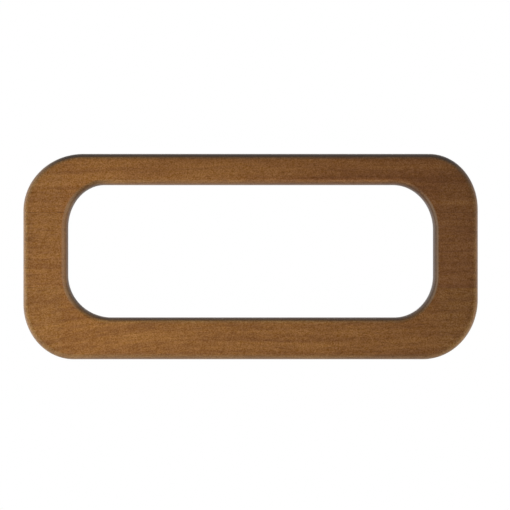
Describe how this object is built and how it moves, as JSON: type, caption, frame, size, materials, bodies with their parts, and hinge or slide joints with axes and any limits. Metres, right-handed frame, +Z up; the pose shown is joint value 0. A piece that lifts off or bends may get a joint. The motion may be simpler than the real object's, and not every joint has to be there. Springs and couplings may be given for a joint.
{
  "type": "grab rail",
  "caption": "Flat wooden grab rail: a rounded rectangular loop of dowelled, edge-glued members around a hand opening, held blind from behind on brass threaded inserts.",
  "frame": {"origin": "on the flat back, in the middle of the base rail's length and width", "axes": "+X along the rail to the right as seen from the front, +Z up as mounted, +Y out of the back into the panel; the front looks along -Y"},
  "size_m": [0.332, 0.02, 0.15],
  "materials": {
    "grip_wood": "brown stain under satin oil on fine-grained hardwood, grain lengthwise",
    "base_wood": "brown stain under satin oil on fine-grained hardwood, grain lengthwise",
    "left_end_wood": "brown stain under satin oil on fine-grained hardwood, grain lengthwise",
    "right_end_wood": "brown stain under satin oil on fine-grained hardwood, grain lengthwise",
    "dowel_wood": "raw turned beech, fluted",
    "brass": "turned, slightly dulled"
  },
  "bodies": {
    "root": {"grip_rail": "grip_wood", "base_rail": "base_wood", "left_end_block": "left_end_wood", "right_end_block": "right_end_wood", "dowel_left_lower_outer": "dowel_wood", "dowel_left_lower_inner": "dowel_wood", "dowel_left_upper_outer": "dowel_wood", "dowel_left_upper_inner": "dowel_wood", "dowel_right_lower_outer": "dowel_wood", "dowel_right_lower_inner": "dowel_wood", "dowel_right_upper_outer": "dowel_wood", "dowel_right_upper_inner": "dowel_wood", "insert_left_upper": "brass", "insert_left_lower": "brass", "insert_left_base": "brass", "insert_right_upper": "brass", "insert_right_lower": "brass", "insert_right_base": "brass"}
  },
  "joints": []
}
